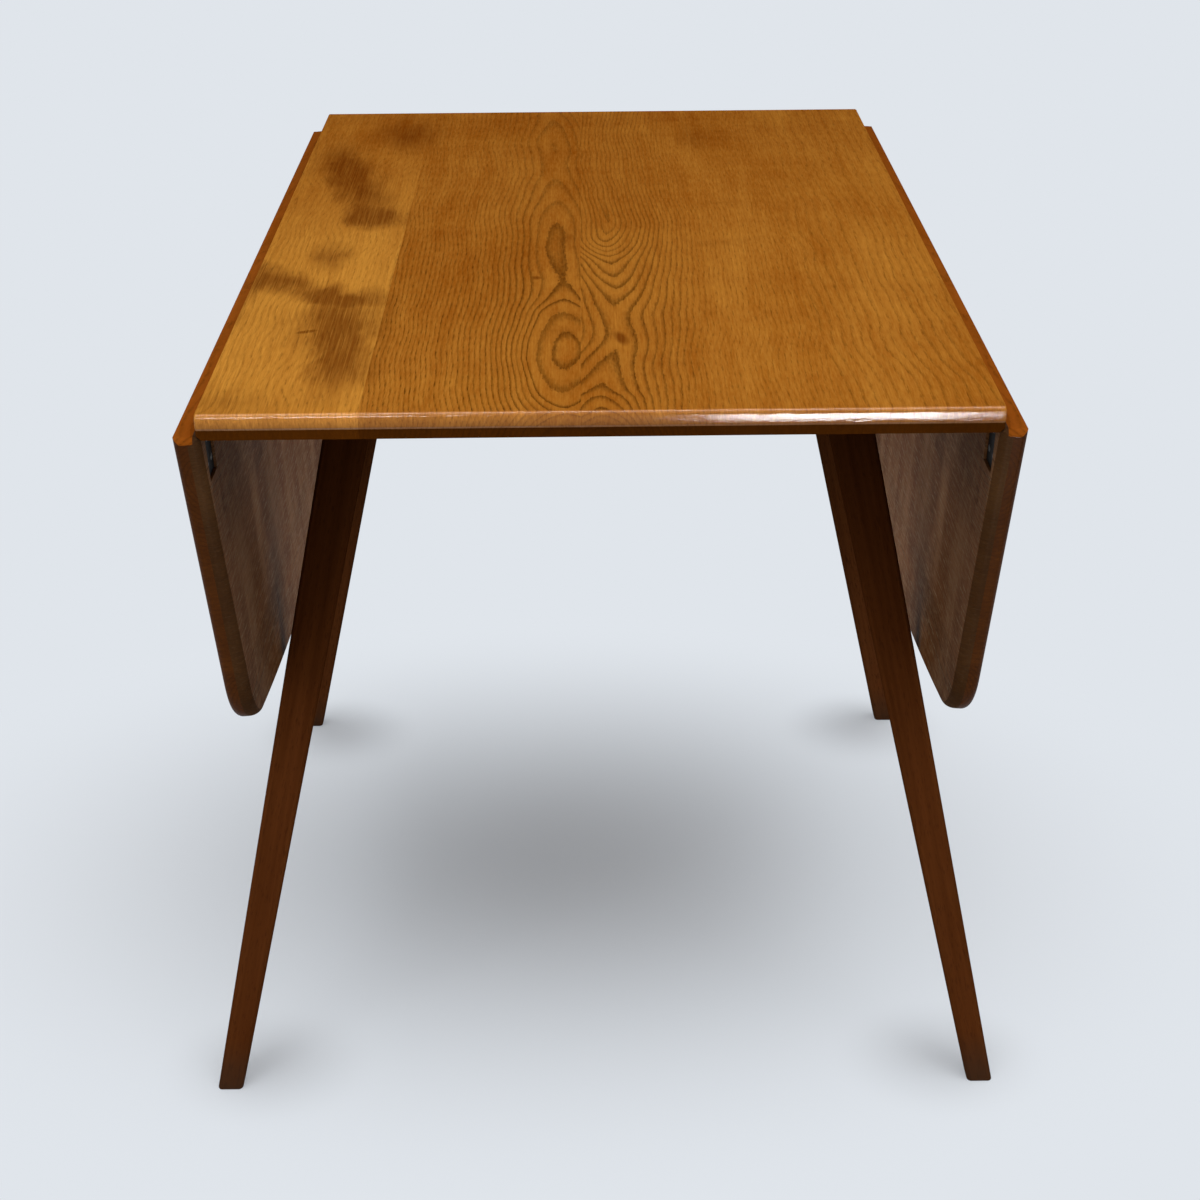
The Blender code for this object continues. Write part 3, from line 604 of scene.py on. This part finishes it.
def cutPockets(piece, place):
    # let each hinge plate and its knuckles into the underside; the cutter runs over outside the wood
    spec = hingeWork
    fit, over = spec["fit"], spec["over"]
    bm = bmesh.new()
    for centre in spec["places"]:
        for reach, rise in ((spec["reach"], spec["plate"] / 2), (spec["knuckle"], spec["knuckle"])):
            box = bmesh.ops.create_cube(bm, size=1.0)["verts"]
            depth = rise + fit + 2 * over
            bmesh.ops.scale(bm, verts=box, vec=(reach + fit + over, spec["width"] + 2 * fit, depth))
            bmesh.ops.translate(bm, verts=box, vec=((reach + fit - over) / 2, centre, rise + fit - depth / 2))
    bmesh.ops.transform(bm, matrix=place, verts=bm.verts)
    bmesh.ops.recalc_face_normals(bm, faces=bm.faces)
    for face in bm.faces:
        face.material_index = 2
    mesh = bpy.data.meshes.new("pocketCutter")
    bm.to_mesh(mesh)
    bm.free()
    for material in piece.data.materials:
        mesh.materials.append(material)
    cutter = bpy.data.objects.new("pocketCutter", mesh)
    bpy.context.scene.collection.objects.link(cutter)
    step = piece.modifiers.new("pockets", "BOOLEAN")
    step.object = cutter
    step.solver = "EXACT"
    step.use_self = True
    graph = bpy.context.evaluated_depsgraph_get()
    carved = bpy.data.meshes.new_from_object(piece.evaluated_get(graph))
    piece.modifiers.clear()
    piece.data = carved
    bpy.data.objects.remove(cutter, do_unlink=True)


def fixedPlace(side):
    # the hinge line seen from the centre board
    return Matrix.Translation((side * pinX, 0.0, pinZ)) @ Matrix.Scale(-side, 4, (1.0, 0.0, 0.0))


def leafPlace(side):
    # a leaf is worked level, then turned down about its hinge line
    flip = Matrix.Scale(side, 4, (1.0, 0.0, 0.0))
    return Matrix.Translation((side * pinX, 0.0, pinZ)) @ Matrix.Rotation(side * hang, 4, "Y") @ flip


def makeCentreTop():
    finishes = (elmCentreTop, elmCentreEdge, elmCentreUnder, elmCentreBevelShaded, elmCentreEdge, elmCentreArrisHighlight)
    bm = bmesh.new()
    bmesh.ops.create_grid(bm, x_segments=1, y_segments=1, size=0.5)
    bmesh.ops.scale(bm, verts=bm.verts, vec=(table["width"] + edgeWork["spare"], table["length"], 1.0))
    workBoard(bm, table["thick"], edgeWork)
    for side in (-1, 1):
        squareHingeEdge(bm, side * table["width"] / 2, side)
    paintBoard(bm, edgeWork)
    # the eased joint sides carry the face's finish
    for face in bm.faces:
        if abs(face.normal.x) > sideTurn and face.normal.z > sideTurn:
            face.material_index = 0
    bmesh.ops.translate(bm, verts=bm.verts, vec=(0.0, 0.0, underside))
    piece = finishPiece("centreTop", bm, finishes, "frame", ["centre_top"])
    for side in (-1, 1):
        cutPockets(piece, fixedPlace(side))
    grainMap(piece, Matrix.Translation((0.0, 0.0, -table["height"])))


leafShape = dict(endDepth=0.283, endSlope=0.069, corner=0.062, bow=0.035, cornerSteps=14, bowSteps=44, spare=0.02)


def makeLeaf(name, side):
    spec = leafShape
    finishes = (elmLeafTop, elmLeafEdgeShaded, elmLeafUnderLit, elmLeafBevelShaded, elmLeafJoint, elmLeafBevelShaded)
    half = table["length"] / 2
    cornerY = half - spec["endSlope"]
    bowRadius = (cornerY ** 2 + spec["bow"] ** 2) / (2 * spec["bow"])
    bowCentre = Vector((spec["endDepth"] + spec["bow"] - bowRadius, 0.0, 0.0))
    slope = math.atan2(spec["endSlope"], spec["endDepth"])
    normal = Vector((math.sin(slope), math.cos(slope), 0.0))
    along = Vector((math.cos(slope), -math.sin(slope), 0.0))
    # the corner's centre lies one corner radius inside both the sloping end and the bow
    base = Vector((0.0, half, 0.0)) - normal * spec["corner"]
    gap = base - bowCentre
    b = gap.dot(along)
    c = gap.length_squared - (bowRadius - spec["corner"]) ** 2
    centre = base + along * (-b + math.sqrt(b * b - c))
    turnEnd = math.atan2(normal.y, normal.x)
    turnBow = math.atan2(centre.y, centre.x - bowCentre.x)
    bm = bmesh.new()
    start = bm.verts.new(Vector((0.0, half, 0.0)) - along * spec["spare"])
    tip = bm.verts.new(centre + normal * spec["corner"])
    bm.edges.new((start, tip))
    mirrored = Vector((centre.x, -centre.y, 0.0))
    for pivot, angle, steps in ((centre, turnBow - turnEnd, spec["cornerSteps"]),
                                (bowCentre, -2 * turnBow, spec["bowSteps"]),
                                (mirrored, turnBow - turnEnd, spec["cornerSteps"])):
        swept = bmesh.ops.spin(bm, geom=[tip], cent=pivot, axis=(0.0, 0.0, 1.0), angle=angle, steps=steps)
        tip = [v for v in swept["geom_last"] if isinstance(v, bmesh.types.BMVert)][0]
    finish = bm.verts.new((start.co.x, -start.co.y, 0.0))
    bm.edges.new((tip, finish))
    bm.edges.new((finish, start))
    bmesh.ops.remove_doubles(bm, verts=bm.verts, dist=weld)
    bmesh.ops.contextual_create(bm, geom=bm.edges[:])
    workBoard(bm, table["thick"], leafWork)
    squareHingeEdge(bm, 0.0, -1, easeCorners=False)
    for end in (-1, 1):
        roundLeafCorner(bm, half, slope, end)
    # a line where the hinge edge's finish changes; below it the edge is painted in shade
    bmesh.ops.bisect_plane(bm, geom=allOf(bm), dist=hair, plane_co=(0.0, 0.0, leafWork["shown"]),
                           plane_no=(0.0, 0.0, 1.0))
    paintBoard(bm, leafWork)
    bmesh.ops.translate(bm, verts=bm.verts, vec=(leafStart, 0.0, -table["pinRise"]))
    place = leafPlace(side)
    bmesh.ops.transform(bm, matrix=place, verts=bm.verts)
    body = "leaf_" + name[4:].lower()
    piece = finishPiece(name, bm, finishes, body, [body])
    cutPockets(piece, place)
    level = Matrix.Translation((-leafStart, 0.0, table["pinRise"] - table["thick"]))
    grainMap(piece, level @ place.inverted())


legShape = dict(topX=0.2075, topY=0.250, footX=0.355, footY=0.395, topWide=0.044, topDeep=0.040, footWide=0.0235,
                footDeep=0.024, headGap=0.0003, arris=0.004, arrisSteps=6, footRound=0.0025, footSteps=4,
                longEdge=0.1, soleEdge=0.0001, flatArea=0.004, grainShift=(0.3, 0.2))


def makeLeg(name, node, sideX, sideY):
    spec = legShape
    bm = bmesh.new()
    bmesh.ops.create_cube(bm, size=1.0)
    foot = Vector((sideX * spec["footX"], sideY * spec["footY"], 0.0))
    head = Vector((sideX * spec["topX"], sideY * spec["topY"], underside - spec["headGap"]))
    for end, level, wide, deep in ((foot, -1, spec["footWide"], spec["footDeep"]),
                                   (head, 1, spec["topWide"], spec["topDeep"])):
        verts = [v for v in bm.verts if v.co.z * level > 0]
        bmesh.ops.scale(bm, verts=verts, vec=(wide, deep, 0.0))
        bmesh.ops.translate(bm, verts=verts, vec=end)
    long = [e for e in bm.edges if abs(e.verts[0].co.z - e.verts[1].co.z) > spec["longEdge"]]
    ease(bm, long, spec["arris"], spec["arrisSteps"])
    sole = [e for e in bm.edges if all(v.co.z < spec["soleEdge"] for v in e.verts)]
    ease(bm, sole, spec["footRound"], spec["footSteps"])
    beech = beechBackLegLit if sideY > 0 else beechLeg
    piece = finishPiece(name, bm, (beech,), "frame", [node], flatArea=spec["flatArea"])
    # grain runs along the leg, and no two legs share a stretch of it
    axis = (head - foot).normalized()
    across = Vector((1.0, 0.0, 0.0)).cross(axis).normalized()
    turn = Matrix((axis.cross(across), axis, across)).to_4x4()
    shiftX, shiftZ = spec["grainShift"]
    grainMap(piece, turn @ Matrix.Translation(-foot + Vector((shiftX * sideX, 0.0, shiftZ * sideY))))


screwWork = dict(radius=0.0032, proud=0.0006, deep=0.0004, slot=0.0009, floorShare=0.96, taper=0.85, sides=24, turn=0.7,
                 onPlate=((0.014, 0.0), (0.033, -0.010), (0.033, 0.010)),
                 onBracket=((-0.013, -0.005), (0.013, 0.005)), stayReach=0.080, topBracketY=0.088, leafBracketY=0.125,
                 bracketPlate=0.0025)


def makeScrews(name, body, places):
    # slotted countersunk heads: two halves either side of the slot and the slot's floor
    spec = screwWork
    bm = bmesh.new()
    for number, place in enumerate(places):
        turned = place @ Matrix.Rotation(spec["turn"] * number, 4, "Z")
        for half in (-1, 1, 0):
            part = bmesh.new()
            depth = spec["proud"] if half else spec["proud"] - spec["deep"]
            wide = spec["radius"] if half else spec["floorShare"] * spec["radius"]
            bmesh.ops.create_cone(part, cap_ends=True, segments=spec["sides"], radius1=spec["taper"] * wide,
                                  radius2=wide, depth=depth)
            bmesh.ops.translate(part, verts=part.verts, vec=(0.0, 0.0, -depth / 2))
            if half:
                trimFlat(part, (half * spec["slot"] / 2, 0.0, 0.0), (-half, 0.0, 0.0))
            bmesh.ops.transform(part, matrix=turned, verts=part.verts)
            piece = bpy.data.meshes.new("screwPart")
            part.to_mesh(piece)
            part.free()
            bm.from_mesh(piece)
            bpy.data.meshes.remove(piece)
    finishPiece(name, bm, (screwSteel,), body, [], flatArea=0.0)


def screwPlaces(hingeFrame, bracketY):
    # on the open face of each hinge plate and of the stay's bracket
    spec = screwWork
    spots = [(x, centre + y, -hingeWork["plate"] / 2) for centre in hingeWork["places"] for x, y in spec["onPlate"]]
    low = -table["pinRise"] - spec["bracketPlate"]
    spots += [(spec["stayReach"] + x, bracketY + y, low) for x, y in spec["onBracket"]]
    return [hingeFrame @ Matrix.Translation(spot) for spot in spots]


makeCentreTop()
for sideName, side in (("Left", -1), ("Right", 1)):
    leafBody = "leaf_" + sideName.lower()
    makeScrews("topScrews" + sideName, "frame", screwPlaces(fixedPlace(side), screwWork["topBracketY"]))
    makeScrews("leafScrews" + sideName, leafBody, screwPlaces(leafPlace(side), screwWork["leafBracketY"]))
makeLeaf("leafLeft", -1)
makeLeaf("leafRight", 1)
for nearName, sideY in (("Front", -1), ("Back", 1)):
    for sideName, sideX in (("Left", -1), ("Right", 1)):
        makeLeg("leg" + nearName + sideName, "leg_" + nearName.lower() + "_" + sideName.lower(), sideX, sideY)
print("boards and legs made")

# carried-over pieces

for name, node in nodes.items():
    if name in ("rail_front", "rail_back"):
        finish = beechCross
    elif name.startswith("rail_"):
        finish = beechLong
    elif name.startswith("hinge_"):
        finish = ironBlack
    elif name.startswith("stay_"):
        finish = zincSteel
    else:
        continue
    node.data.materials.clear()
    node.data.materials.append(finish)
print("rails, hinges and stays finished")

# floor, light and camera

studio = dict(backdrop="#E0E5EB", white="#FFFFFF", worldLight=0.50, floorSize=12.0, shadeShift=(0.09, -0.03, 0.0),
              shadeScale=(1.25, 1.6, 1.0), shadeReach=1.08, shadeLeast=0.10, footInside=0.03, footReach=0.11,
              footLeast=0.3)


def seenRays(tree):
    # rays that show the backdrop itself rather than its light
    path = addNode(tree, "ShaderNodeLightPath").outputs
    seen = calc(tree, "MAXIMUM", path["Is Camera Ray"], path["Is Glossy Ray"])
    return calc(tree, "MAXIMUM", seen, path["Is Transmission Ray"])


def makeStage():
    spec = studio
    backdrop = hexColour(spec["backdrop"])
    bm = bmesh.new()
    bmesh.ops.create_grid(bm, x_segments=1, y_segments=1, size=spec["floorSize"])
    mesh = bpy.data.meshes.new("studioFloor")
    bm.to_mesh(mesh)
    bm.free()
    floor = bpy.data.objects.new("studioFloor", mesh)
    bpy.context.scene.collection.objects.link(floor)
    material, tree = newMaterial("paleStudioFloor")
    paint = addNode(tree, "ShaderNodeBsdfDiffuse", dict(Color=backdrop))
    glow = addNode(tree, "ShaderNodeEmission", dict(Color=backdrop, Strength=1.0))
    # the table's shadow is kept near it, and the floor runs out into the even backdrop
    spot = addNode(tree, "ShaderNodeTexCoord").outputs["Object"]
    away = addNode(tree, "ShaderNodeMapping", dict(Location=spec["shadeShift"], Scale=spec["shadeScale"]), {0: spot})
    away = addNode(tree, "ShaderNodeVectorMath", dict(operation="LENGTH"), {0: away.outputs[0]}).outputs["Value"]
    share = remap(tree, away, (0.0, spec["shadeReach"]), (spec["shadeLeast"], 1.0), smooth=True)
    # and just inside each foot
    inside = (legShape["footX"] - spec["footInside"], legShape["footY"] - spec["footInside"], 0.0)
    foot = addNode(tree, "ShaderNodeVectorMath", dict(operation="ABSOLUTE"), {0: spot})
    foot = addNode(tree, "ShaderNodeVectorMath", {"operation": "DISTANCE", 1: inside}, {0: foot.outputs[0]})
    foot = remap(tree, foot.outputs["Value"], (0.0, spec["footReach"]), (spec["footLeast"], 1.0), smooth=True)
    share = calc(tree, "MULTIPLY", seenRays(tree), calc(tree, "MULTIPLY", foot, share))
    both = addNode(tree, "ShaderNodeMixShader", None, {0: share, 1: paint.outputs[0], 2: glow.outputs[0]})
    addNode(tree, "ShaderNodeOutputMaterial", None, {0: both.outputs[0]})
    mesh.materials.append(material)
    world = bpy.data.worlds.new("paleStudio")
    bpy.context.scene.world = world
    world.use_nodes = True
    tree = world.node_tree
    tree.nodes.clear()
    light = addNode(tree, "ShaderNodeBackground", dict(Color=hexColour(spec["white"]), Strength=spec["worldLight"]))
    shown = addNode(tree, "ShaderNodeBackground", dict(Color=backdrop, Strength=1.0))
    both = addNode(tree, "ShaderNodeMixShader", None, {0: seenRays(tree), 1: light.outputs[0], 2: shown.outputs[0]})
    addNode(tree, "ShaderNodeOutputWorld", None, {0: both.outputs[0]})


# the last three are reflector cards, which only show as a gleam in the lacquer
lamps = (
    dict(name="overheadSoftbox", place=(0.3, -1.2, 3.3), target=(0.0, 0.0, 0.6), size=(3.0, 3.0), power=62.0),
    dict(name="frontFill", place=(-2.0, -3.0, 1.9), target=(0.0, 0.0, 0.5), size=(1.6, 1.6), power=18.0),
    dict(name="lowFrontStrip", place=(0.58, -2.2, 0.21), target=(0.2, -0.565, 0.71), size=(0.55, 0.38), power=80.0,
         gleam=True),
    dict(name="arrisCard", place=(-0.1, -0.60, 2.5), target=(-0.1, -0.565, 0.72), size=(2.4, 0.5), power=54.0,
         gleam=True),
    dict(name="leftCard", place=(-0.75, -2.6, 1.5), target=(-0.25, -0.565, 0.71), size=(0.7, 0.5), power=46.0,
         gleam=True),
)


def areaLight(name, place, target, size, power, gleam=False):
    light = bpy.data.lights.new(name, "AREA")
    light.shape = "RECTANGLE"
    light.size, light.size_y = size
    light.energy = power
    lamp = bpy.data.objects.new(name, light)
    lamp.location = place
    lamp.rotation_euler = (Vector(target) - Vector(place)).to_track_quat("-Z", "Y").to_euler()
    lamp.visible_diffuse = not gleam
    bpy.context.scene.collection.objects.link(lamp)


makeStage()
for lamp in lamps:
    areaLight(**lamp)

view = dict(place=(-0.0103, -2.3776, 1.3307), yaw=0.272, pitch=22.863, roll=-0.502, focalPixels=2462.8, frame=1200)


def makeCamera():
    yaw, pitch, roll = (math.radians(view[key]) for key in ("yaw", "pitch", "roll"))
    ahead = Vector((math.sin(yaw) * math.cos(pitch), math.cos(yaw) * math.cos(pitch), -math.sin(pitch)))
    right = Vector((math.cos(yaw), -math.sin(yaw), 0.0))
    up = right.cross(ahead)
    turnedRight = math.cos(roll) * right + math.sin(roll) * up
    turnedUp = math.cos(roll) * up - math.sin(roll) * right
    data = bpy.data.cameras.new("photoView")
    data.sensor_width = 36.0
    data.lens = view["focalPixels"] / view["frame"] * data.sensor_width
    camera = bpy.data.objects.new("photoView", data)
    facing = Matrix((turnedRight, turnedUp, -ahead)).transposed().to_4x4()
    camera.matrix_world = Matrix.Translation(view["place"]) @ facing
    bpy.context.scene.collection.objects.link(camera)
    bpy.context.scene.camera = camera


makeCamera()
bpy.context.scene.view_settings.view_transform = "Standard"
print("studio set")
